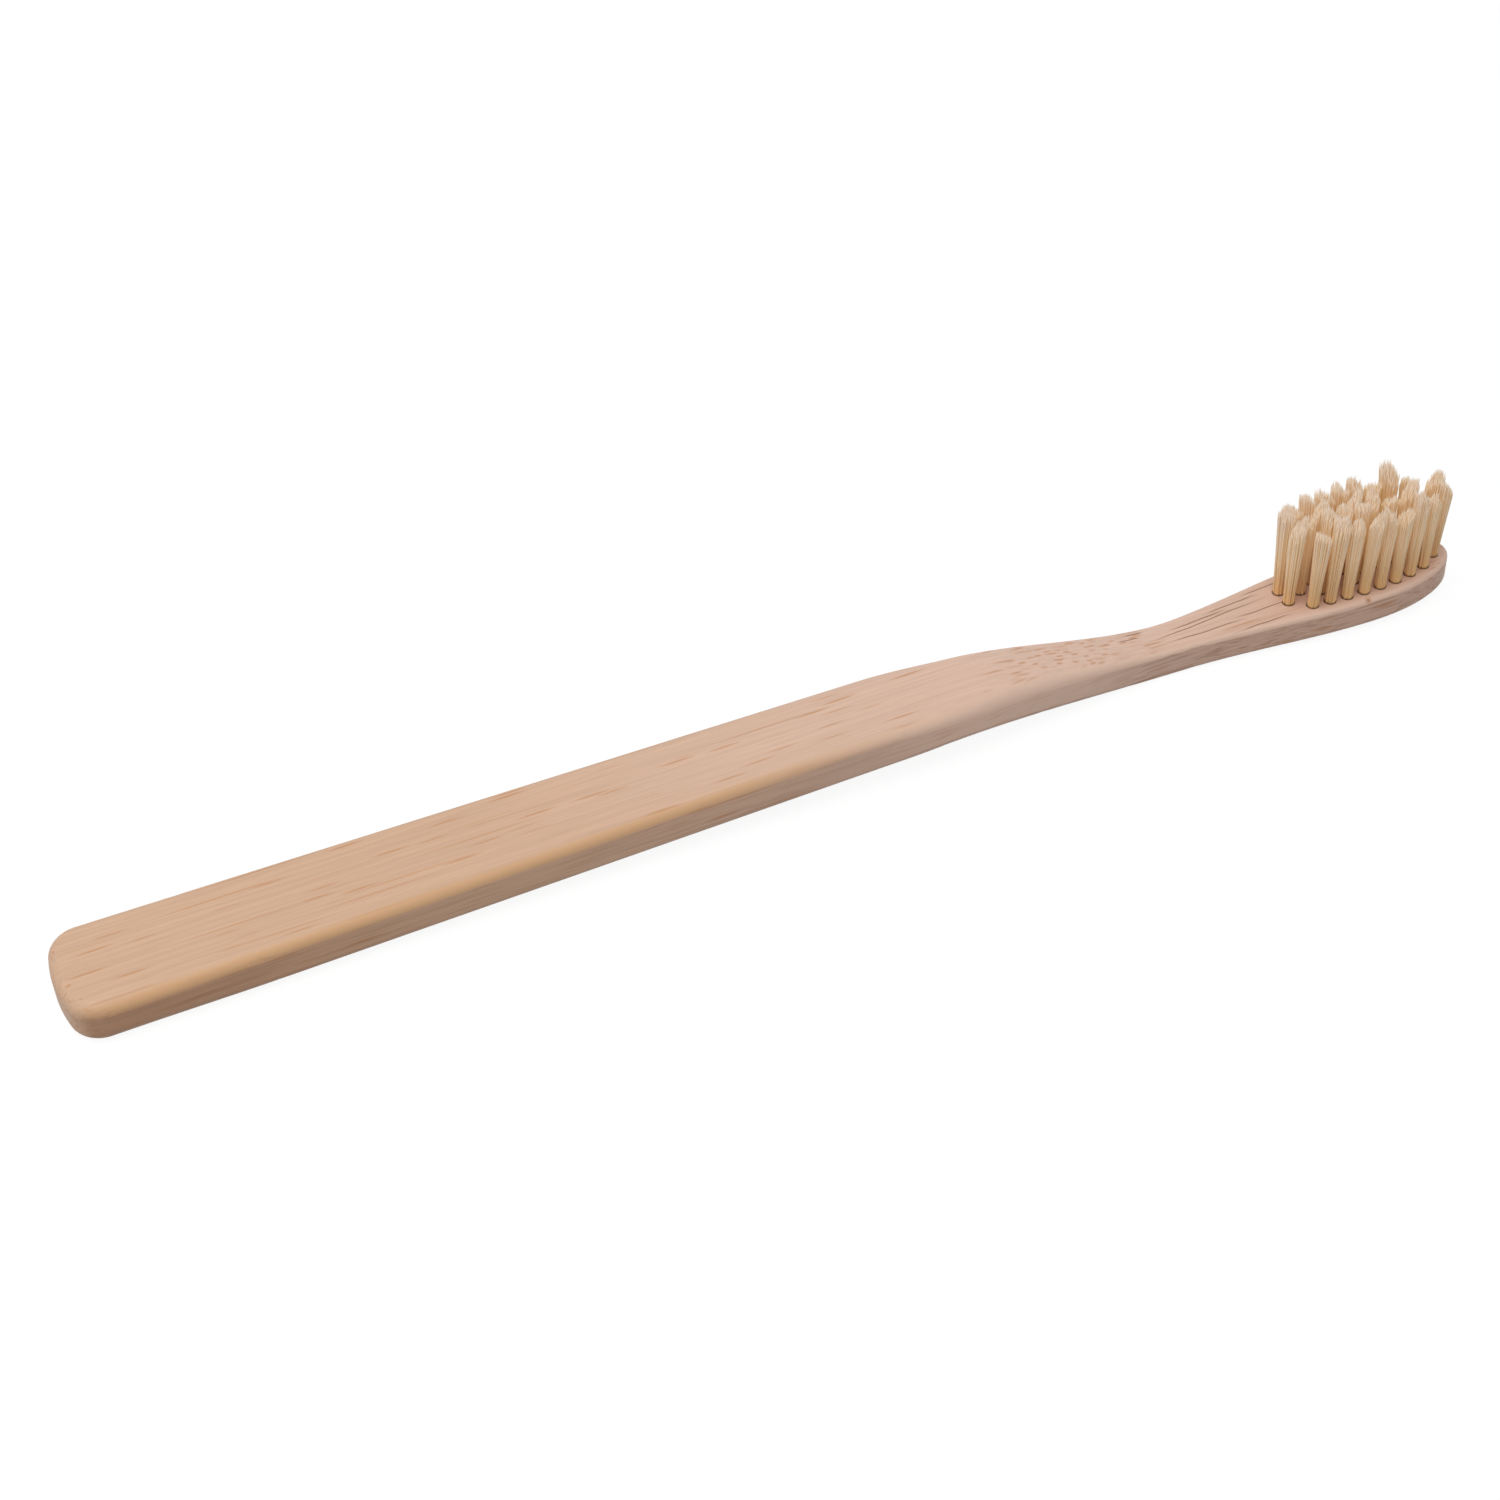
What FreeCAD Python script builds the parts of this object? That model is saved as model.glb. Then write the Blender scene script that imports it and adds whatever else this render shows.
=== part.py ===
"""Manual toothbrush: a one-piece bamboo handle, its bristle tufts and the flat metal anchor of each tuft.

Millimetres. +X runs from the butt of the handle to the tip of the head, +Z is the bristle side, and the
origin is under the middle of the brush, level with the back of the head.
"""

import FreeCAD
import Part
import math
import os

# Handle, seen from above: stretches along X, then widths
grip_length = 103.3
shoulder_length = 41.8
neck_length = 30.6
tip_length = 13.25
butt_width = 15.25
grip_end_width = 12.0
neck_width = 6.0
head_width = 11.3
butt_corner_radius = 4.0
butt_bow = 1.45
butt_fade = 20.0

# Handle, seen from the side
grip_thickness = 5.55
head_thickness = 4.3
face_drop = 4.75
face_slope_lag = 13.0
back_slope_lag = 6.9
slope_past_neck = 2.9

# Rounding of the rims: along the face at the butt, the grip, the shoulder and the head, then along the back
butt_edge_radius = 1.7
grip_edge_radius = 1.65
shoulder_edge_radius = 2.5
head_edge_radius = 0.85
butt_back_radius = 1.6
grip_back_radius = 1.1
head_back_radius = 0.8

# Drilled tuft field: the most tufts in each staggered column, from the neck to the tip
column_counts = [2, 3, 4, 3, 4, 3, 3, 3, 2, 2]
column_pitch = 2.5
field_end_gap = 2.85
field_edge_gap = 1.9
first_pair_spacing = 2.4
last_pair_spacing = 2.2
hole_diameter = 1.7
hole_depth = 3.0

# Bristle tufts: free height of each column above the face, then the shape of one tuft
column_heights = [14.1, 12.6, 13.8, 12.9, 13.4, 13.3, 12.0, 13.8, 11.7, 12.6]
root_clearance = 0.05
tuft_flare = 0.22
tuft_gap = 0.1
tip_cut_angle = 38.0

# Flat anchors, each driven lengthwise across its hole through the fold of the tuft
anchor_bite = 0.18
anchor_height = 1.3
anchor_thickness = 0.25
fold_depth = 0.3

# Worked out from the sizes above
length = grip_length + shoulder_length + neck_length + tip_length
x_butt = -length / 2
x_grip_end = x_butt + grip_length
x_butt_side = x_butt + butt_bow + butt_corner_radius
x_even_grip = x_butt_side + butt_fade
x_neck = x_grip_end + shoulder_length
x_widest = x_neck + neck_length
x_tip = x_widest + tip_length
x_face_slope = x_grip_end + face_slope_lag
x_back_slope = x_grip_end + back_slope_lag
x_slope_end = x_neck + slope_past_neck
z_face = head_thickness
z_top = z_face + face_drop
z_back = z_top - grip_thickness
z_floor = z_face - hole_depth
root_radius = hole_diameter / 2 - root_clearance
top_radius = root_radius + tuft_flare
anchor_length = hole_diameter + 2 * anchor_bite


def point(x, y, z):
    return FreeCAD.Vector(x, y, z)


def line(start, end):
    return Part.LineSegment(start, end).toShape()


def flow(start, end):
    """A soft S between two points, level along X at both ends."""
    third = point((end.x - start.x) / 3, 0, 0)
    curve = Part.BezierCurve()
    curve.setPoles([start, start + third, end - third, end])
    return curve.toShape()


def ease(share):
    """Height of the same S at a share of its run, from 0 to 1."""
    return 3 * share**2 - 2 * share**3


def share_between(x, start, end):
    """How far x is along a stretch, from 0 at its start to 1 at its end."""
    return min(max((x - start) / (end - start), 0.0), 1.0)


def face_height(x):
    """Height of the face at a place along X, on the outline that side_outline draws."""
    return z_top - face_drop * ease(share_between(x, x_face_slope, x_slope_end))


def back_height(x):
    """Height of the back at a place along X."""
    return z_back * (1 - ease(share_between(x, x_back_slope, x_slope_end)))


def head_half_width(x):
    """Half the width of the head at a place along X, on the outline that plan_outline draws."""
    if x < x_widest:
        share = (x - x_neck) / neck_length
        return (neck_width + (head_width - neck_width) * ease(share)) / 2
    share = (x - x_widest) / tip_length
    return head_width / 2 * math.sqrt(1 - share**2)


def plan_outline():
    """The handle from above, at z = 0: grip, waisted neck and oval head."""
    butt = point(x_butt + butt_bow, butt_width / 2, 0)
    grip_end = point(x_grip_end, grip_end_width / 2, 0)
    neck = point(x_neck, neck_width / 2, 0)
    widest = point(x_widest, head_width / 2, 0)
    even_grip = butt + (grip_end - butt) * ((x_even_grip - butt.x) / (grip_end.x - butt.x))
    far_side = [line(butt, even_grip), line(even_grip, grip_end), flow(grip_end, neck), flow(neck, widest)]

    oval = Part.Ellipse(point(x_tip, 0, 0), widest, point(x_widest, 0, 0))
    tip = Part.Arc(oval, -math.pi / 2, math.pi / 2).toShape()

    across = point(0, 0, 0)
    near_side = [edge.mirror(across, point(0, 1, 0)) for edge in far_side]
    near_butt = point(butt.x, -butt.y, 0)
    end = Part.Arc(near_butt, point(x_butt, 0, 0), butt).toShape()
    edges = Part.sortEdges(far_side + [tip] + near_side + [end])[0]
    return Part.Face(Part.Wire(edges))


def side_outline():
    """The handle from the side, at y = 0: a flat grip that steps down to the flat head."""
    butt_top = point(x_butt, 0, z_top)
    face_start = point(x_face_slope, 0, z_top)
    face_end = point(x_slope_end, 0, z_face)
    tip_top = point(x_tip, 0, z_face)
    tip_back = point(x_tip, 0, 0)
    back_end = point(x_slope_end, 0, 0)
    back_start = point(x_back_slope, 0, z_back)
    butt_back = point(x_butt, 0, z_back)
    edges = [
        line(butt_top, face_start),
        flow(face_start, face_end),
        line(face_end, tip_top),
        line(tip_top, tip_back),
        line(tip_back, back_end),
        flow(back_end, back_start),
        line(back_start, butt_back),
        line(butt_back, butt_top),
    ]
    return Part.Face(Part.Wire(edges))


def upright_edges_at_butt(solid):
    """The two upright edges where the sides of the grip meet its end."""
    found = []
    for edge in solid.Edges:
        box = edge.BoundBox
        upright = box.XLength < 0.01 and box.YLength < 0.01
        if upright and abs(box.XMin - x_butt - butt_bow) < 0.01:
            found.append(edge)
    return found


def is_rim(edge):
    """True for an edge that runs round the face or round the back of the handle."""
    tangent = edge.tangentAt((edge.FirstParameter + edge.LastParameter) / 2)
    upright = abs(tangent.z) > 0.9
    seam = isinstance(edge.Curve, Part.Line) and abs(tangent.y) > 0.99
    return not upright and not seam


def rim_radius(x, on_face):
    """Rounding of a rim at a place along X: soft at the butt and the shoulder, crisp round the head."""
    along_grip = share_between(x, x_butt_side, x_even_grip)
    if not on_face:
        grip = butt_back_radius + (grip_back_radius - butt_back_radius) * along_grip
        return grip + (head_back_radius - grip_back_radius) * share_between(x, x_grip_end, x_neck)
    if x < x_face_slope:
        grip = butt_edge_radius + (grip_edge_radius - butt_edge_radius) * along_grip
        return grip + (shoulder_edge_radius - grip_edge_radius) * share_between(x, x_grip_end, x_face_slope)
    share = share_between(x, x_face_slope, x_neck)
    return shoulder_edge_radius + (head_edge_radius - shoulder_edge_radius) * share


def rounded(blank):
    """The blank with every rim rounded by rim_radius. Rims are added along X, so that each place where two of
    them meet gets the radius of the later one."""
    document = FreeCAD.newDocument()
    sharp = document.addObject("Part::Feature", "sharp")
    sharp.Shape = blank
    fillet = document.addObject("Part::Fillet", "rounded")
    fillet.Base = sharp
    rims = []
    for number, edge in enumerate(sharp.Shape.Edges, start=1):
        if is_rim(edge):
            middle = edge.CenterOfMass
            on_face = middle.z > (face_height(middle.x) + back_height(middle.x)) / 2
            start = min(edge.valueAt(at).x for at in (edge.FirstParameter, edge.LastParameter))
            rims.append((middle.x, number, rim_radius(start, on_face)))
    fillet.Edges = [(number, radius, radius) for x, number, radius in sorted(rims)]
    document.recompute()
    return fillet.Shape


def handle_blank():
    """The handle with its rounded rims, before drilling."""
    plan = plan_outline().extrude(point(0, 0, 2 * z_top))
    plan.translate(point(0, 0, -z_top / 2))
    plan = plan.makeFillet(butt_corner_radius, upright_edges_at_butt(plan))
    side = side_outline().extrude(point(0, butt_width, 0))
    side.translate(point(0, -butt_width / 2, 0))
    return rounded(plan.common(side))


def column_places(index):
    """Where the tufts of one column stand, from the near side to the far side."""
    last = len(column_counts) - 1
    x = x_tip - field_end_gap - (last - index) * column_pitch
    reach = head_half_width(x) - field_edge_gap
    if index == 0:
        reach = first_pair_spacing / 2
    if index == last:
        reach = last_pair_spacing / 2
    room = math.floor(2 * reach / (2 * top_radius + tuft_gap)) + 1
    count = min(column_counts[index], room)
    if count == 1:
        return [(x, 0.0)]
    return [(x, reach * (2 * i / (count - 1) - 1)) for i in range(count)]


def tuft_hole(x, y):
    return Part.makeCylinder(hole_diameter / 2, hole_depth, point(x, y, z_floor))


def anchor(x, y):
    """A flat strip of metal on edge across the hole, above the fold of the tuft."""
    corner = point(x - anchor_length / 2, y - anchor_thickness / 2, z_floor + fold_depth)
    return Part.makeBox(anchor_length, anchor_thickness, anchor_height, corner)


def tuft(x, y, height, side):
    """A bundle of bristles: a straight root in its hole, a slight flare above it and a slanting tip."""
    root = Part.makeCylinder(root_radius, hole_depth, point(x, y, z_floor))
    mouth = point(x, y, z_face)
    top = point(x, y, z_face + height)
    free = Part.makeCone(root_radius, top_radius, height, mouth)
    size = 8 * top_radius
    cutter = Part.makeBox(size, size, size, point(-size / 2, -size / 2, 0))
    cutter.rotate(point(0, 0, 0), point(0, 1, 0), -tip_cut_angle * side)
    rise = top_radius * math.tan(math.radians(tip_cut_angle))
    cutter.translate(top - point(0, 0, rise))
    return root.fuse(free).cut(cutter).cut(anchor(x, y))


def save(shape, name):
    shape.exportStep(os.path.join("parts", name + ".step"))


def build():
    os.makedirs("parts", exist_ok=True)
    handle = handle_blank()
    for index, height in enumerate(column_heights):
        for row, (x, y) in enumerate(column_places(index), start=1):
            label = f"{index + 1:02d}_{row}"
            side = 1 if (index + row) % 2 else -1
            strip = anchor(x, y)
            handle = handle.cut(tuft_hole(x, y)).cut(strip)
            save(tuft(x, y, height, side), "bristle_tuft_" + label)
            save(strip, "tuft_anchor_" + label)
    save(handle, "bamboo_handle")
    print("handle", round(handle.Volume, 1), handle.isValid(), len(handle.Solids), handle.BoundBox)


build()
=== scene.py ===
"""Manual toothbrush: bamboo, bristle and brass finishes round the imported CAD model, with a plain studio.

Metres, in the frame of the part: +X from the butt to the tip of the head, +Z the bristle side.
"""

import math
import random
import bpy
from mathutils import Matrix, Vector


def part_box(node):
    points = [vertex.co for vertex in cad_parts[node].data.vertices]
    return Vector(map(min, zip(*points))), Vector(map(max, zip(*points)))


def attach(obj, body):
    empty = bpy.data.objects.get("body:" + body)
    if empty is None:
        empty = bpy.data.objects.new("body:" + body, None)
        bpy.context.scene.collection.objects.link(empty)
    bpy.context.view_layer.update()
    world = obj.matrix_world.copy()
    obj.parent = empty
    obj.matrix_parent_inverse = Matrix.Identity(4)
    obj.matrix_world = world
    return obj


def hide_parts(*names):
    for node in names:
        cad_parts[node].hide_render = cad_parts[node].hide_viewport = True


bl_info = {
    "name": "Manual Toothbrush",
    "version": (1, 0, 0),
    "blender": (4, 5, 0),
    "location": "View3D > Sidebar > Toothbrush",
    "description": "Finishes a bamboo toothbrush and sets up its studio",
    "category": "Object",
}

import bpy
from bpy.props import FloatProperty, FloatVectorProperty, IntProperty, PointerProperty
from mathutils import Matrix, Vector

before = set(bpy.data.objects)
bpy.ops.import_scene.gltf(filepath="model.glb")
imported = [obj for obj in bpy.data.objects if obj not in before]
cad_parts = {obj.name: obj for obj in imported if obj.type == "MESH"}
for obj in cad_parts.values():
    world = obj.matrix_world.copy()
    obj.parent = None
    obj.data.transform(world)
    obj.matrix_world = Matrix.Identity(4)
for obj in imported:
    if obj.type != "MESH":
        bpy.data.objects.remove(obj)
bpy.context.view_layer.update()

MM = 0.001
HANDLE = "bamboo_handle"
TUFTS = sorted(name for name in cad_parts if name.startswith("bristle_tuft_"))
ANCHORS = sorted(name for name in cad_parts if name.startswith("tuft_anchor_"))

# One bristle: its sides, then each run of it with the taper at its end, as shares of its length and thickness
BRISTLE_SIDES = 6
BRISTLE_RUNS = [(0.30, 1.0), (0.27, 1.0), (0.24, 0.97), (0.12, 0.85)]
BRISTLE_POINT = 0.07

# One tuft: rise of its slanting cut, its points and the fall between them, its lean towards the tip, loose ends
CUT_RISE = (1.2 * MM, 2.6 * MM)
POINTS = 4
POINT_DROP = 1.0 * MM
POINT_FALL = (1.2 * MM, 2.2 * MM)
LEAN = 0.015
LEAN_BY_Y = 6.0
LEAN_SHAKE = 0.014
SPREAD_BY_Y = 150.0
STRAY = 0.06 * MM
ROOT_GAP = 0.03 * MM

# Long open grooves of the neck and the head: start and end as x and y in millimetres
GROOVES = [
    ((47.2, -0.40), (68.0, 1.25)),
    ((51.5, 0.70), (62.0, 1.35)),
    ((50.0, -1.30), (63.5, -1.55)),
    ((60.5, -0.85), (70.5, -0.80)),
    ((57.3, 1.55), (67.2, 2.20)),
    ((57.7, -3.30), (69.3, -3.35)),
    ((63.5, 2.75), (73.0, 3.20)),
    ((44.2, 0.75), (48.3, 1.00)),
    ((45.6, 1.75), (49.2, 1.90)),
]
KNOT = (78.8, -5.3, 4.0)

# Stretches of the handle along X over which its finish changes, and over which the painted shade on the sides,
# the painted glow on the rim of the grip and the painted highlights beyond it fade, in millimetres
WARM_TO_PALE = (-60.0, 45.0)
PALE_TO_HEAD = (35.0, 70.0)
SIDE_SHADE_STRETCH = (-92.0, -45.0)
RIM_GLOW_BEGINS = (-96.0, -87.0)
RIM_GLOW_ENDS = (-25.0, 40.0)
RIM_HIGHLIGHT_BEGINS = (-15.0, 25.0)
SHOULDER_BEGINS = (0.0, 22.0)
SHOULDER_ENDS = (36.0, 50.0)

# Dashes on the flat faces: length, width, offset of the pattern and share of its cells that show one
SHORT_DASHES = (10.0, 0.70, 3.3, 0.7)
LONG_DASHES = (34.0, 0.62, 8.1, 0.6)

# Heights over which the bristles change colour, in millimetres, with painted shade deepening towards the root
# and at the hole mouths, and a painted glow towards the cut ends
MOUTH_SHADE_RISE = (4.25, 4.65)
SHANK_RISE = (4.0, 13.0)
TIP_RISE = (12.5, 17.5)
PAINTED_GLOW_RISE = (5.5, 12.0)

# Seed of the first tuft's random draws
FIRST_SEED = 400

# Floor: where the back of the neck rests on it, the hair of air under the brush, and its look to the camera
FLOOR_TOUCH = 52.06 * MM
FLOOR_GAP = 0.02 * MM
FLOOR_SIZE = 6.0
FLOOR_FAINT = (0.13, 0.13, 0.13)
FLOOR_GLOW = 0.91

# Softbox above the brush
SOFTBOX_PLACE = Vector((-0.16, -0.06, 0.46))
SOFTBOX_WIDTH = 0.55
SOFTBOX_DEPTH = 0.40


def size(name, description, default):
    return FloatProperty(name=name, description=description, default=default, unit="LENGTH", precision=5)


def angle(name, description, degrees):
    return FloatProperty(name=name, description=description, default=math.radians(degrees), unit="ROTATION")


def number(name, description, default):
    return FloatProperty(name=name, description=description, default=default)


def share(name, description, default):
    return FloatProperty(name=name, description=description, default=default, subtype="FACTOR", min=0, max=1)


def colour(name, description, default):
    return FloatVectorProperty(
        name=name, description=description, default=default, subtype="COLOR", size=3, min=0, max=1
    )


class BambooFinish(bpy.types.PropertyGroup):
    pale: colour("Pale bamboo", "Colour of the ground along the middle of the brush", (0.760, 0.530, 0.420))
    warm: colour("Warm bamboo", "Colour of the warmer ground towards the butt", (0.655, 0.425, 0.282))
    head: colour("Head", "Colour of the ground along the neck and the head", (0.715, 0.480, 0.368))
    fibre: colour("Fibre", "Colour of the cut fibre bundles", (0.54, 0.245, 0.100))
    groove: colour("Groove", "Colour of the open grooves along the neck and the head", (0.27, 0.135, 0.075))
    streak: colour("Streak", "Colour of the dark streaks along the sides", (0.36, 0.165, 0.085))
    # Painted shade: the sides darkened and turned pinker, most towards the butt
    side: colour("Sides", "Tint of the sides, most towards the butt", (0.76, 0.66, 0.60))
    # Painted glow: a warm light painted on the rounded rims of the grip
    rim: colour("Rim glow", "Colour of the rounded rims of the grip", (0.72, 0.425, 0.220))
    # Painted highlight on the rims of the shoulder and the head, and on the upper sides of the shoulder
    painted_highlight: colour("Painted highlight", "Colour of the highlighted rims of the shoulder and the head", (0.86, 0.610, 0.480))
    bundle_width: size("Bundle width", "Distance between fibre bundles across the brush", 0.70 * MM)
    bundle_height: size("Bundle height", "Distance between fibre bundles through the brush", 0.40 * MM)
    roughness: share("Roughness", "Roughness of the waxed bamboo", 0.52)


class BristleFinish(bpy.types.PropertyGroup):
    # Root and shank colours: partly the bristles' own colour, partly painted shade, deeper and more saturated
    # towards the root where the tufts are shaded
    root: colour("Root", "Colour of the bristles near the face of the head", (0.88, 0.550, 0.235))
    shank: colour("Shank", "Colour of the bristles half-way up", (0.820, 0.680, 0.510))
    tip: colour("Tip", "Colour of the bristles near their cut ends", (0.810, 0.705, 0.605))
    # Painted shade: dark brown where the bristles go down into the hole
    mouth: colour("Hole mouth shade", "Colour of the bristles in the mouth of the hole", (0.32, 0.155, 0.065))
    # Painted glow: emission that stands in for the light let through the bristles
    glow: colour("Glow", "Colour of the light that the bristles let through", (1.0, 0.50, 0.09))
    painted_glow_strength: number("Glow strength", "How strong that light is near the cut ends", 0.095)
    per_tuft: IntProperty(name="Bristles in a tuft", description="Bristle ends in one tuft", default=150, min=8)
    thickness: size("Thickness", "Diameter of one bristle", 0.17 * MM)
    spread: share("Spread", "How far a tuft opens from its hole to its top", 0.72)
    ragged: size("Ragged ends", "How far the ends of a tuft differ in height", 1.0 * MM)
    hole: size("Hole", "Diameter that a tuft fills at the face of the head", 1.5 * MM)
    head_face: size("Head face", "Height of the drilled face of the head", 4.3 * MM)


class StudioSetup(bpy.types.PropertyGroup):
    azimuth: angle("Azimuth", "How far the camera stands round the brush", -22.3)
    elevation: angle("Elevation", "How far the camera looks down", 41.397)
    roll: angle("Roll", "How far the camera is turned about its line of sight", -3.101)
    distance: size("Distance", "From the camera to the point it looks at", 330.97 * MM)
    aim: FloatVectorProperty(
        name="Aim", description="Point that the camera looks at", subtype="XYZ_LENGTH",
        default=(-6.686 * MM, 2.461 * MM, 6.0 * MM), precision=5,
    )
    lens: number("Lens", "Focal length of the camera in millimetres", 64.253)
    key: number("Key light", "Power of the softbox above the brush in watts", 1.4)
    ambient: number("Ambient", "Strength of the even light from all round", 0.5)
    floor: colour("Floor", "Colour of the floor", (0.34, 0.34, 0.34))
    floor_tilt: angle("Floor tilt", "Tilt of the floor, on which the butt and the back of the neck rest", 1.377)


class NodeSheet:
    """Adds nodes to one node tree and wires them. A value given to a node is a number, a colour or a socket."""

    def __init__(self, tree):
        self.tree = tree
        self.column = 0

    def add(self, kind, values=None, **settings):
        node = self.tree.nodes.new(kind)
        self.column += 1
        node.location = (180 * (self.column % 12), -220 * (self.column // 12))
        for key, value in settings.items():
            setattr(node, key, value)
        for key, value in (values or {}).items():
            self.feed(node.inputs[key], value)
        return node

    def feed(self, socket, value):
        if isinstance(value, bpy.types.NodeSocket):
            self.tree.links.new(value, socket)
        elif socket.type == "RGBA" and len(value) == 3:
            socket.default_value = (*value, 1.0)
        else:
            socket.default_value = value

    def math(self, operation, first, second=0.0, third=0.0, clamp=False):
        values = {0: first, 1: second, 2: third}
        return self.add("ShaderNodeMath", values, operation=operation, use_clamp=clamp).outputs[0]

    def total(self, *values):
        result = values[0]
        for value in values[1:]:
            result = self.math("ADD", result, value)
        return result

    def times(self, *values):
        result = values[0]
        for value in values[1:]:
            result = self.math("MULTIPLY", result, value)
        return result

    def vector(self, x, y, z):
        return self.add("ShaderNodeCombineXYZ", {0: x, 1: y, 2: z}).outputs[0]

    def parts(self, vector):
        return self.add("ShaderNodeSeparateXYZ", {0: vector}).outputs

    def noise(self, vector, detail=2.0, roughness=0.5):
        values = {"Vector": vector, "Scale": 1.0, "Detail": detail, "Roughness": roughness}
        return self.add("ShaderNodeTexNoise", values)

    def ramp(self, value, start, end, low=0.0, high=1.0):
        """A soft step from low to high while the value goes from start to end."""
        values = {"Value": value, 1: start, 2: end, 3: low, 4: high}
        return self.add("ShaderNodeMapRange", values, interpolation_type="SMOOTHSTEP").outputs[0]

    def mix(self, factor, first, second, blend="MIX"):
        node = self.add("ShaderNodeMix", data_type="RGBA", blend_type=blend, clamp_factor=True)
        self.feed(node.inputs["Factor"], factor)
        self.feed([s for s in node.inputs if s.name == "A" and s.type == "RGBA"][0], first)
        self.feed([s for s in node.inputs if s.name == "B" and s.type == "RGBA"][0], second)
        return [s for s in node.outputs if s.type == "RGBA"][0]


def new_material(name):
    """A material with one Principled BSDF, and the sheet that its nodes go on."""
    material = bpy.data.materials.new(name)
    material.use_nodes = True
    material.node_tree.nodes.clear()
    sheet = NodeSheet(material.node_tree)
    shader = sheet.add("ShaderNodeBsdfPrincipled")
    sheet.add("ShaderNodeOutputMaterial", {"Surface": shader.outputs[0]})
    return material, sheet, shader


def place_in_mm(sheet):
    """The place on the object in millimetres, as x, y and z."""
    place = sheet.add("ShaderNodeTexCoord").outputs["Object"]
    scaled = sheet.add("ShaderNodeVectorMath", {0: place, 3: 1 / MM}, operation="SCALE").outputs[0]
    return sheet.parts(scaled)


def stretched(sheet, place, along, across, offset=0.0):
    """A place whose x counts along, and y and z across, so that a pattern on it runs with the fibres."""
    x, y, z = place
    return sheet.vector(
        sheet.math("MULTIPLY_ADD", x, along, offset), sheet.times(y, across), sheet.times(z, across)
    )


def fibre_dots(sheet, place, normal, finish):
    """Cut ends of the fibre bundles, which run along X, so they show where a surface slopes across them."""
    _, y, z = place
    wander = sheet.parts(sheet.noise(stretched(sheet, place, 0.035, 0.10), 2.0).outputs["Color"])
    bundle_y = sheet.math("MULTIPLY_ADD", wander[0], 2.2, y)
    bundle_z = sheet.math("MULTIPLY_ADD", wander[1], 1.3, z)
    section = sheet.vector(
        sheet.times(bundle_y, MM / finish.bundle_width), sheet.times(bundle_z, MM / finish.bundle_height), 0.0
    )
    cells = sheet.add("ShaderNodeTexVoronoi", {"Vector": section, "Scale": 1.0}, voronoi_dimensions="2D")
    chance = sheet.parts(cells.outputs["Color"])
    bundle = sheet.ramp(cells.outputs["Distance"], 0.14, 0.37, 1.0, 0.0)
    strength = sheet.ramp(chance[0], 0.25, 0.80)
    across = sheet.math("ABSOLUTE", normal[0])
    slope = sheet.times(sheet.ramp(across, 0.05, 0.13), sheet.ramp(normal[2], 0.45, 0.80))
    end = sheet.times(sheet.ramp(across, 0.35, 0.70), 0.5)
    return sheet.times(bundle, strength, sheet.math("MAXIMUM", slope, end))


def dashes(sheet, place, length, width, offset, share_on):
    """Short tapered dashes along the fibres."""
    x, y, z = place
    spread = sheet.vector(
        sheet.math("MULTIPLY_ADD", x, 1 / length, offset),
        sheet.times(y, 1 / width),
        sheet.times(z, 0.8 / width),
    )
    cells = sheet.add("ShaderNodeTexVoronoi", {"Vector": spread, "Scale": 1.0})
    chance = sheet.parts(cells.outputs["Color"])
    inside = sheet.ramp(cells.outputs["Distance"], 0.08, 0.34, 1.0, 0.0)
    return sheet.times(inside, sheet.ramp(chance[1], 1 - share_on, 1 - 0.5 * share_on))


def groove(sheet, place, start, end, wobble):
    """One thin groove along the fibres, from start to end, that thins out at both ends."""
    x, y, _ = place
    slope = (end[1] - start[1]) / (end[0] - start[0])
    line = sheet.math("MULTIPLY_ADD", x, slope, start[1] - slope * start[0])
    off = sheet.math("ABSOLUTE", sheet.math("SUBTRACT", sheet.math("SUBTRACT", y, line), wobble))
    run = 0.3 * (end[0] - start[0])
    opens = sheet.ramp(x, start[0], start[0] + run)
    closes = sheet.ramp(x, end[0] - run, end[0], 1.0, 0.0)
    return sheet.times(sheet.ramp(off, 0.04, 0.15, 1.0, 0.0), sheet.times(opens, closes))


def long_grooves(sheet, place, normal):
    wave = sheet.noise(stretched(sheet, place, 0.22, 0.3, 5.0), 2.0).outputs["Fac"]
    wobble = sheet.math("MULTIPLY_ADD", wave, 0.5, -0.25)
    deepest = 0.0
    for start, end in GROOVES:
        deepest = sheet.math("MAXIMUM", deepest, groove(sheet, place, start, end, wobble))
    return sheet.times(deepest, sheet.ramp(normal[2], 0.6, 0.9))


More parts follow.
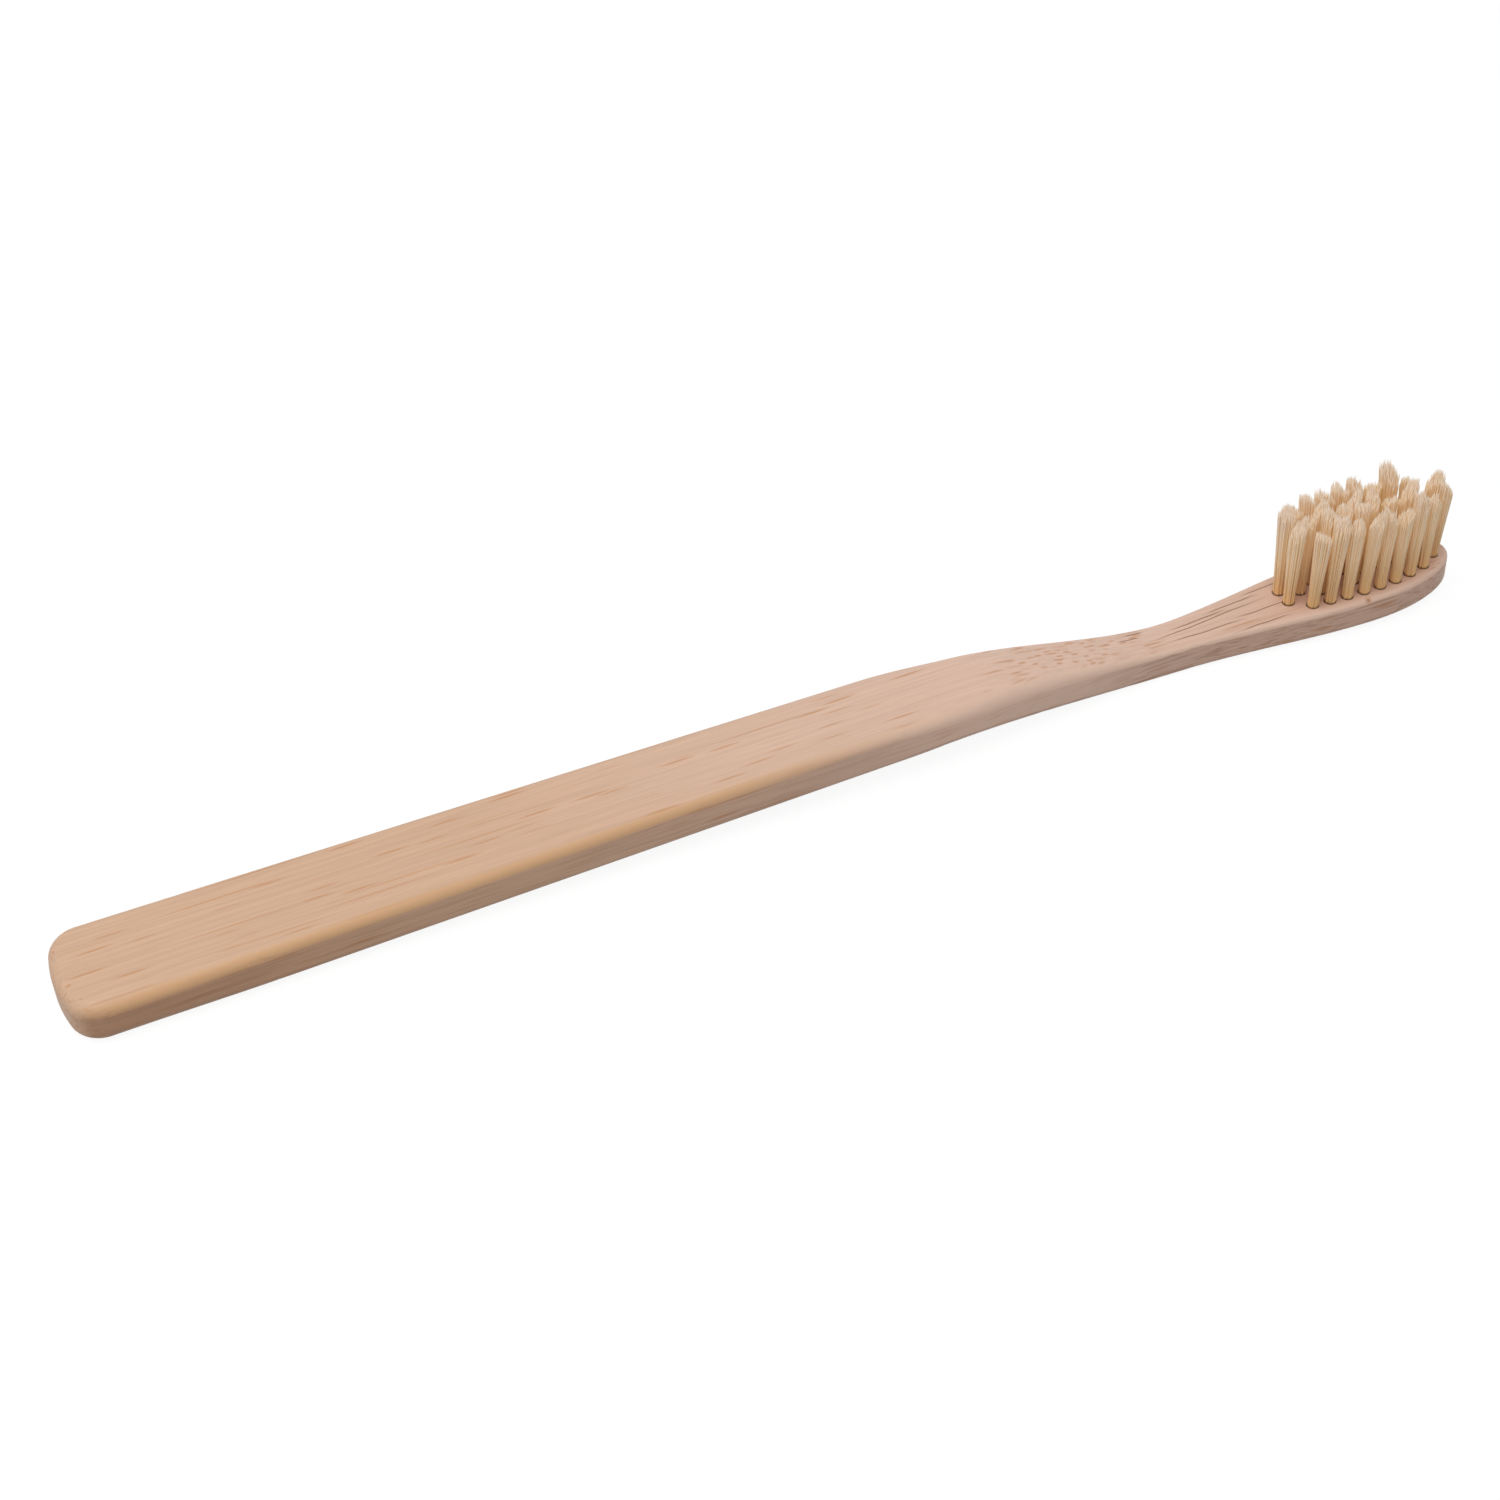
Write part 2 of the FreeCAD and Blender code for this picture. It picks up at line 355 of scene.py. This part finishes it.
def bamboo_material(finish):
    material, sheet, shader = new_material("waxed_bamboo")
    place = place_in_mm(sheet)
    x, y, z = place
    normal = sheet.parts(sheet.add("ShaderNodeTexCoord").outputs["Normal"])

    # Ground: warm at the butt, pale along the middle, browner at the head, with soft streaks along the fibres
    broad = sheet.noise(stretched(sheet, place, 0.02, 0.16, 7.0), 1.0).outputs["Fac"]
    shifted = sheet.math("MULTIPLY_ADD", broad, 36.0, sheet.math("SUBTRACT", x, 18.0))
    ground = sheet.mix(sheet.ramp(shifted, *WARM_TO_PALE), finish.warm, finish.pale)
    ground = sheet.mix(sheet.ramp(shifted, *PALE_TO_HEAD), ground, finish.head)
    streaks = sheet.noise(stretched(sheet, place, 0.05, 2.0), 3.0, 0.6).outputs["Fac"]
    fine = sheet.noise(stretched(sheet, place, 0.22, 9.0), 2.0, 0.6).outputs["Fac"]
    shade = sheet.ramp(streaks, 0.25, 0.75, 0.93, 1.05)
    shade = sheet.total(shade, sheet.ramp(fine, 0.25, 0.75, -0.035, 0.035))
    ground = sheet.mix(1.0, ground, sheet.vector(shade, shade, shade), "MULTIPLY")

    # Orange dashes on the flat faces, dots where the shoulder cuts across the fibres
    short = dashes(sheet, place, *SHORT_DASHES)
    long = dashes(sheet, place, *LONG_DASHES)
    dots = fibre_dots(sheet, place, normal, finish)
    marks = sheet.math("MAXIMUM", sheet.times(short, 0.68), sheet.times(long, 0.52))
    marks = sheet.math("MAXIMUM", marks, sheet.times(dots, 0.62))
    ground = sheet.mix(marks, ground, finish.fibre)

    # Darker streaks along the sides, and the open grooves of the neck and the head
    side = sheet.ramp(sheet.math("ABSOLUTE", normal[1]), 0.75, 0.95)
    side_noise = sheet.noise(stretched(sheet, place, 0.07, 3.2, 11.0), 2.0, 0.55).outputs["Fac"]
    side_depth = sheet.ramp(x, *SHOULDER_ENDS, 0.26, 0.50)
    side_streaks = sheet.times(sheet.ramp(side_noise, 0.48, 0.66), side, side_depth)
    grooves = long_grooves(sheet, place, normal)
    ground = sheet.mix(side_streaks, ground, finish.streak)
    ground = sheet.mix(sheet.times(grooves, 0.85), ground, finish.groove)
    # Painted shade on the sides, darker and pinker towards the butt
    edge = sheet.ramp(sheet.math("ABSOLUTE", normal[1]), 0.55, 0.95)
    side_shade_near_butt = sheet.ramp(x, *SIDE_SHADE_STRETCH, 0.95, 0.12)
    ground = sheet.mix(sheet.times(edge, side_shade_near_butt), ground, finish.side, "MULTIPLY")

    # A painted warm glow on the rounded rim of the grip, most along one long side, and painted highlights that
    # pale the rims beyond it
    rounding = sheet.times(sheet.ramp(normal[2], 0.03, 0.30), sheet.ramp(normal[2], 0.70, 0.999, 1.0, 0.0))
    along = sheet.times(sheet.ramp(x, *RIM_GLOW_BEGINS), sheet.ramp(x, *RIM_GLOW_ENDS, 1.0, 0.0))
    near = sheet.ramp(normal[1], -0.6, -0.1, 0.85, 0.0)
    far = sheet.ramp(normal[1], 0.1, 0.6, 0.0, 0.4)
    ground = sheet.mix(sheet.times(rounding, along, sheet.math("MAXIMUM", near, far)), ground, finish.rim)
    # Painted highlight on the rims beyond the grip
    beyond = sheet.ramp(x, *RIM_HIGHLIGHT_BEGINS, 0.0, 0.7)
    ground = sheet.mix(sheet.times(sheet.ramp(normal[2], 0.0, 0.35), rounding, beyond), ground, finish.painted_highlight)
    # Painted highlight on the upper sides of the shoulder
    shoulder = sheet.times(sheet.ramp(x, *SHOULDER_BEGINS), sheet.ramp(x, *SHOULDER_ENDS, 1.0, 0.0))
    upper_side = sheet.times(sheet.ramp(normal[2], -0.25, 0.10), sheet.ramp(normal[2], 0.35, 0.75, 1.0, 0.0))
    ground = sheet.mix(sheet.times(upper_side, shoulder, 0.8), ground, finish.painted_highlight)

    # A small knot at the edge of the head
    spot = sheet.vector(x, y, z)
    away = sheet.add("ShaderNodeVectorMath", {0: spot, 1: KNOT}, operation="DISTANCE").outputs["Value"]
    ground = sheet.mix(sheet.ramp(away, 0.25, 0.70, 0.5, 0.0), ground, finish.fibre)
    ground = sheet.mix(sheet.ramp(away, 0.10, 0.28, 0.6, 0.0), ground, finish.groove)

    rough = sheet.total(finish.roughness, sheet.ramp(fine, 0.2, 0.8, -0.05, 0.05), sheet.times(marks, 0.12))
    relief = sheet.total(sheet.times(marks, -0.4), sheet.times(grooves, -1.2), sheet.times(fine, 0.12))
    bump = sheet.add("ShaderNodeBump", {"Height": relief, "Strength": 0.35, "Distance": 0.06 * MM})
    sheet.feed(shader.inputs["Base Color"], ground)
    sheet.feed(shader.inputs["Roughness"], rough)
    sheet.feed(shader.inputs["Normal"], bump.outputs[0])
    shader.inputs["Specular IOR Level"].default_value = 0.35
    return material


def bristle_material(finish):
    material, sheet, shader = new_material("cream_bristle")
    place = place_in_mm(sheet)
    tone = sheet.add("ShaderNodeAttribute", attribute_name="tone").outputs["Fac"]
    # Bristles paler towards the tips and deeper towards the root: partly their own colour, partly painted shade
    # of the tufts' depths
    body = sheet.mix(sheet.ramp(place[2], *SHANK_RISE), finish.root, finish.shank)
    body = sheet.mix(sheet.ramp(place[2], *TIP_RISE), body, finish.tip)
    # Painted shade at the hole mouths: the bristles turn dark brown just above the face of the head
    body = sheet.mix(sheet.ramp(place[2], *MOUTH_SHADE_RISE), finish.mouth, body)
    shade = sheet.ramp(tone, 0.0, 1.0, 0.97, 1.03)
    bleach = sheet.ramp(tone, 0.0, 1.0, 0.92, 1.06)
    body = sheet.mix(1.0, body, sheet.vector(shade, shade, bleach), "MULTIPLY")
    fleck = sheet.noise(sheet.vector(sheet.times(place[0], 9.0), sheet.times(place[1], 9.0), place[2]), 2.0)
    rough = sheet.ramp(fleck.outputs["Fac"], 0.3, 0.7, 0.42, 0.58)
    sheet.feed(shader.inputs["Base Color"], body)
    sheet.feed(shader.inputs["Roughness"], rough)
    shader.inputs["Specular IOR Level"].default_value = 0.45
    # Painted glow: emission, rising with height, that stands in for light let through the bristles
    shader.inputs["Emission Color"].default_value = (*finish.glow, 1.0)
    sheet.feed(shader.inputs["Emission Strength"], sheet.ramp(place[2], *PAINTED_GLOW_RISE, 0.0, finish.painted_glow_strength))
    shader.inputs["Sheen Weight"].default_value = 0.3
    shader.inputs["Sheen Roughness"].default_value = 0.5
    shader.inputs["Sheen Tint"].default_value = (1.0, 0.94, 0.88, 1.0)
    return material


def brass_material():
    material, sheet, shader = new_material("flat_brass_wire")
    place = place_in_mm(sheet)
    drawn = sheet.noise(stretched(sheet, place, 0.8, 30.0), 3.0).outputs["Fac"]
    sheet.feed(shader.inputs["Base Color"], sheet.mix(drawn, (0.62, 0.42, 0.16), (0.80, 0.61, 0.30)))
    sheet.feed(shader.inputs["Roughness"], sheet.ramp(drawn, 0.2, 0.8, 0.22, 0.42))
    shader.inputs["Metallic"].default_value = 1.0
    return material


def set_material(piece, material):
    piece.data.materials.clear()
    piece.data.materials.append(material)


def deselect_all():
    if bpy.context.object and bpy.context.object.mode != "OBJECT":
        bpy.ops.object.mode_set(mode="OBJECT")
    bpy.ops.object.select_all(action="DESELECT")


def one_bristle(finish):
    """One straight bristle, a metre tall before copies of it are cut to length, with a blunt point."""
    deselect_all()
    bpy.ops.mesh.primitive_circle_add(vertices=BRISTLE_SIDES, radius=finish.thickness / 2, location=(0, 0, 0))
    bristle = bpy.context.object
    bpy.ops.object.mode_set(mode="EDIT")
    bpy.ops.mesh.select_all(action="SELECT")
    for rise, taper in BRISTLE_RUNS:
        bpy.ops.mesh.extrude_region_move(TRANSFORM_OT_translate={"value": (0, 0, rise)})
        bpy.ops.transform.resize(value=(taper, taper, 1))
    bpy.ops.mesh.extrude_region_move(TRANSFORM_OT_translate={"value": (0, 0, BRISTLE_POINT)})
    bpy.ops.mesh.merge(type="CENTER")
    bpy.ops.mesh.select_all(action="SELECT")
    bpy.ops.mesh.normals_make_consistent(inside=False)
    bpy.ops.object.mode_set(mode="OBJECT")
    return bristle


def bundle_places(count, radius, draw):
    """Places that fill a disc evenly, a little shaken."""
    golden = math.pi * (3 - math.sqrt(5))
    places = []
    for i in range(count):
        reach = radius * math.sqrt((i + 0.5) / count)
        turn = i * golden + draw.uniform(-0.2, 0.2)
        places.append(Vector((reach * math.cos(turn), reach * math.sin(turn))))
    return places


def model_tuft(name, pattern, finish, draw):
    """One tuft: bristles that fill its hole, open towards the top and end in a ragged slanting cut."""
    low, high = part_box(name)
    anchor_low, anchor_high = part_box(name.replace("bristle_tuft", "tuft_anchor"))
    axis = ((anchor_low + anchor_high) / 2).to_2d()
    peak = max(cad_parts[name].data.vertices, key=lambda corner: corner.co.z).co
    slant = draw.gauss(0.0, 0.6) if peak.x > axis.x else draw.gauss(math.pi, 0.6)
    towards_peak = Vector((math.cos(slant), math.sin(slant)))
    cut = draw.uniform(*CUT_RISE) / 2
    fall = draw.uniform(*POINT_FALL)
    points = []
    for turn in range(POINTS):
        round_to = slant + (turn + draw.random()) * 2 * math.pi / POINTS
        reach = draw.uniform(0.2, 0.8)
        points.append((Vector((math.cos(round_to), math.sin(round_to))) * reach, draw.random() * POINT_DROP))
    lean = Vector((LEAN - LEAN_BY_Y * axis.y + draw.gauss(0, LEAN_SHAKE), draw.gauss(0, LEAN_SHAKE)))
    spread = finish.spread * draw.uniform(0.85, 1.15) * (1 + SPREAD_BY_Y * max(axis.y, 0.0))
    root_radius = finish.hole / 2 - finish.thickness / 2
    free = high.z - finish.head_face
    roots = bundle_places(finish.per_tuft, root_radius, draw)
    drops = []
    for root in roots:
        out = root / root_radius
        ragged = abs(draw.gauss(0, 0.45)) * finish.ragged
        below_point = min(drop + fall * (out - point).length for point, drop in points)
        drops.append(cut * (1 - out.dot(towards_peak)) + below_point + ragged)
    bristles = []
    for root, drop in zip(roots, drops):
        top = high.z - drop + min(drops)
        clears = abs(root.y) > (anchor_high.y - anchor_low.y + finish.thickness) / 2
        start = low.z + ROOT_GAP if clears else anchor_high.z + ROOT_GAP
        opens = spread * draw.uniform(0.85, 1.15)
        stray = Vector((draw.gauss(0, STRAY), draw.gauss(0, STRAY)))
        bristle = pattern.copy()
        bristle.data = pattern.data.copy()
        bpy.context.collection.objects.link(bristle)
        for corner in bristle.data.vertices:
            z = start + corner.co.z * (top - start)
            above = max(z - finish.head_face, 0.0) / free
            middle = axis + root * (1 + opens * above**1.2) + (lean * free + stray * above) * above
            corner.co = (middle.x + corner.co.x, middle.y + corner.co.y, z)
        bristles.append(bristle)
    return bristles


def join(pieces, name):
    deselect_all()
    for piece in pieces:
        piece.select_set(True)
    bpy.context.view_layer.objects.active = pieces[0]
    bpy.ops.object.join()
    whole = bpy.context.object
    whole.name = name
    whole.data.name = name
    return whole


def paint_tones(tuft, corners, draw):
    """Gives every bristle of a tuft one tone of its own, which the bristle material reads."""
    tones = tuft.data.attributes.new("tone", "FLOAT", "POINT")
    for first in range(0, len(tuft.data.vertices), corners):
        tone = draw.random()
        for index in range(first, first + corners):
            tones.data[index].value = tone


class TOOTHBRUSH_OT_bamboo_handle(bpy.types.Operator):
    """Gives the handle its waxed bamboo"""

    bl_idname = "toothbrush.bamboo_handle"
    bl_label = "Bamboo Handle"

    def execute(self, context):
        set_material(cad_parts[HANDLE], bamboo_material(context.scene.toothbrush_bamboo))
        return {"FINISHED"}


class TOOTHBRUSH_OT_tuft_anchors(bpy.types.Operator):
    """Gives the flat anchors in the tuft holes their brass"""

    bl_idname = "toothbrush.tuft_anchors"
    bl_label = "Tuft Anchors"

    def execute(self, context):
        brass = brass_material()
        for name in ANCHORS:
            set_material(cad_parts[name], brass)
        return {"FINISHED"}


class TOOTHBRUSH_OT_bristle_tufts(bpy.types.Operator):
    """Models every bristle tuft from single bristles"""

    bl_idname = "toothbrush.bristle_tufts"
    bl_label = "Bristle Tufts"

    def execute(self, context):
        finish = context.scene.toothbrush_bristle
        material = bristle_material(finish)
        pattern = one_bristle(finish)
        corners = len(pattern.data.vertices)
        for number_in_row, name in enumerate(TUFTS):
            draw = random.Random(FIRST_SEED + number_in_row)
            tuft = join(model_tuft(name, pattern, finish, draw), name.replace("bristle_tuft", "bristle_bundle"))
            paint_tones(tuft, corners, draw)
            bpy.ops.object.shade_smooth()
            set_material(tuft, material)
            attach(tuft, "root")
            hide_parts(name)
        bpy.data.objects.remove(pattern)
        return {"FINISHED"}


def floor_material(setup):
    """A floor that is white to the camera, keeps a faint shadow and throws little light back."""
    material = bpy.data.materials.new("studio_floor")
    material.use_nodes = True
    material.node_tree.nodes.clear()
    sheet = NodeSheet(material.node_tree)
    seen = seen_directly(sheet)
    plain = sheet.add("ShaderNodeBsdfDiffuse", {"Color": setup.floor})
    faint = sheet.add("ShaderNodeBsdfDiffuse", {"Color": FLOOR_FAINT})
    glow = sheet.add("ShaderNodeEmission", {"Color": (1.0, 1.0, 1.0), "Strength": FLOOR_GLOW})
    white = sheet.add("ShaderNodeAddShader", {0: faint.outputs[0], 1: glow.outputs[0]})
    shown = sheet.add("ShaderNodeMixShader", {0: seen, 1: plain.outputs[0], 2: white.outputs[0]})
    sheet.add("ShaderNodeOutputMaterial", {"Surface": shown.outputs[0]})
    return material


def seen_directly(sheet):
    """1 for rays from the camera, in mirrors and through glass, and 0 for light that bounces."""
    rays = sheet.add("ShaderNodeLightPath").outputs
    direct = sheet.math("MAXIMUM", rays["Is Camera Ray"], rays["Is Glossy Ray"])
    return sheet.math("MAXIMUM", direct, rays["Is Transmission Ray"])


def make_floor(setup):
    deselect_all()
    bpy.ops.mesh.primitive_plane_add(size=FLOOR_SIZE, location=(0, 0, 0))
    floor = bpy.context.object
    floor.name = "studio_floor"
    bpy.ops.object.mode_set(mode="EDIT")
    bpy.ops.mesh.select_all(action="SELECT")
    bpy.ops.mesh.subdivide(number_cuts=2)
    bpy.ops.object.mode_set(mode="OBJECT")
    rests = Vector((FLOOR_TOUCH, 0, -FLOOR_GAP))
    floor.data.transform(Matrix.Translation(rests) @ Matrix.Rotation(setup.floor_tilt, 4, "Y"))
    set_material(floor, floor_material(setup))


def make_world(setup):
    world = bpy.data.worlds.new("studio_light")
    bpy.context.scene.world = world
    world.use_nodes = True
    world.node_tree.nodes.clear()
    sheet = NodeSheet(world.node_tree)
    strength = sheet.ramp(seen_directly(sheet), 0.0, 1.0, setup.ambient, 1.0)
    even = sheet.add("ShaderNodeBackground", {"Color": (1.0, 1.0, 1.0), "Strength": strength})
    sheet.add("ShaderNodeOutputWorld", {"Surface": even.outputs[0]})


def make_softbox(setup):
    """A soft light above the brush, turned towards its middle."""
    light = bpy.data.lights.new("key_softbox", "AREA")
    light.shape = "RECTANGLE"
    light.size = SOFTBOX_WIDTH
    light.size_y = SOFTBOX_DEPTH
    light.energy = setup.key
    softbox = bpy.data.objects.new("key_softbox", light)
    bpy.context.collection.objects.link(softbox)
    softbox.location = SOFTBOX_PLACE
    softbox.rotation_euler = (-SOFTBOX_PLACE).to_track_quat("-Z", "Y").to_euler()


def make_camera(setup):
    back = Vector((
        math.sin(setup.azimuth) * math.cos(setup.elevation),
        -math.cos(setup.azimuth) * math.cos(setup.elevation),
        math.sin(setup.elevation),
    ))
    level = Vector((math.cos(setup.azimuth), math.sin(setup.azimuth), 0))
    upright = back.cross(level)
    right = level * math.cos(setup.roll) + upright * math.sin(setup.roll)
    up = upright * math.cos(setup.roll) - level * math.sin(setup.roll)
    data = bpy.data.cameras.new("photo_camera")
    data.sensor_width = 36.0
    data.lens = setup.lens
    data.clip_start = 0.01
    camera = bpy.data.objects.new("photo_camera", data)
    bpy.context.collection.objects.link(camera)
    turned = Matrix((right, up, back)).transposed().to_4x4()
    camera.matrix_world = Matrix.Translation(Vector(setup.aim) + back * setup.distance) @ turned
    bpy.context.scene.camera = camera


class TOOTHBRUSH_OT_stage(bpy.types.Operator):
    """Sets up the floor, the light and the camera"""

    bl_idname = "toothbrush.stage"
    bl_label = "Stage"

    def execute(self, context):
        setup = context.scene.toothbrush_studio
        context.scene.view_settings.view_transform = "Standard"
        make_floor(setup)
        make_world(setup)
        make_softbox(setup)
        make_camera(setup)
        return {"FINISHED"}


class TOOTHBRUSH_PT_sidebar(bpy.types.Panel):
    bl_label = "Manual Toothbrush"
    bl_idname = "TOOTHBRUSH_PT_sidebar"
    bl_space_type = "VIEW_3D"
    bl_region_type = "UI"
    bl_category = "Toothbrush"

    def draw(self, context):
        for settings in SETTINGS:
            group = getattr(context.scene, settings)
            for key in group.bl_rna.properties.keys():
                if key not in ("rna_type", "name"):
                    self.layout.prop(group, key)
        for operator in OPERATORS:
            self.layout.operator(operator.bl_idname)


SETTINGS = {
    "toothbrush_bamboo": BambooFinish,
    "toothbrush_bristle": BristleFinish,
    "toothbrush_studio": StudioSetup,
}
OPERATORS = [
    TOOTHBRUSH_OT_bamboo_handle,
    TOOTHBRUSH_OT_tuft_anchors,
    TOOTHBRUSH_OT_bristle_tufts,
    TOOTHBRUSH_OT_stage,
]
CLASSES = [*SETTINGS.values(), *OPERATORS, TOOTHBRUSH_PT_sidebar]


def register():
    for item in CLASSES:
        bpy.utils.register_class(item)
    for name, group in SETTINGS.items():
        setattr(bpy.types.Scene, name, PointerProperty(type=group))


def unregister():
    for name in SETTINGS:
        delattr(bpy.types.Scene, name)
    for item in reversed(CLASSES):
        bpy.utils.unregister_class(item)


def main():
    register()
    bpy.ops.toothbrush.bamboo_handle()
    bpy.ops.toothbrush.tuft_anchors()
    bpy.ops.toothbrush.bristle_tufts()
    bpy.ops.toothbrush.stage()


if __name__ == "__main__":
    main()
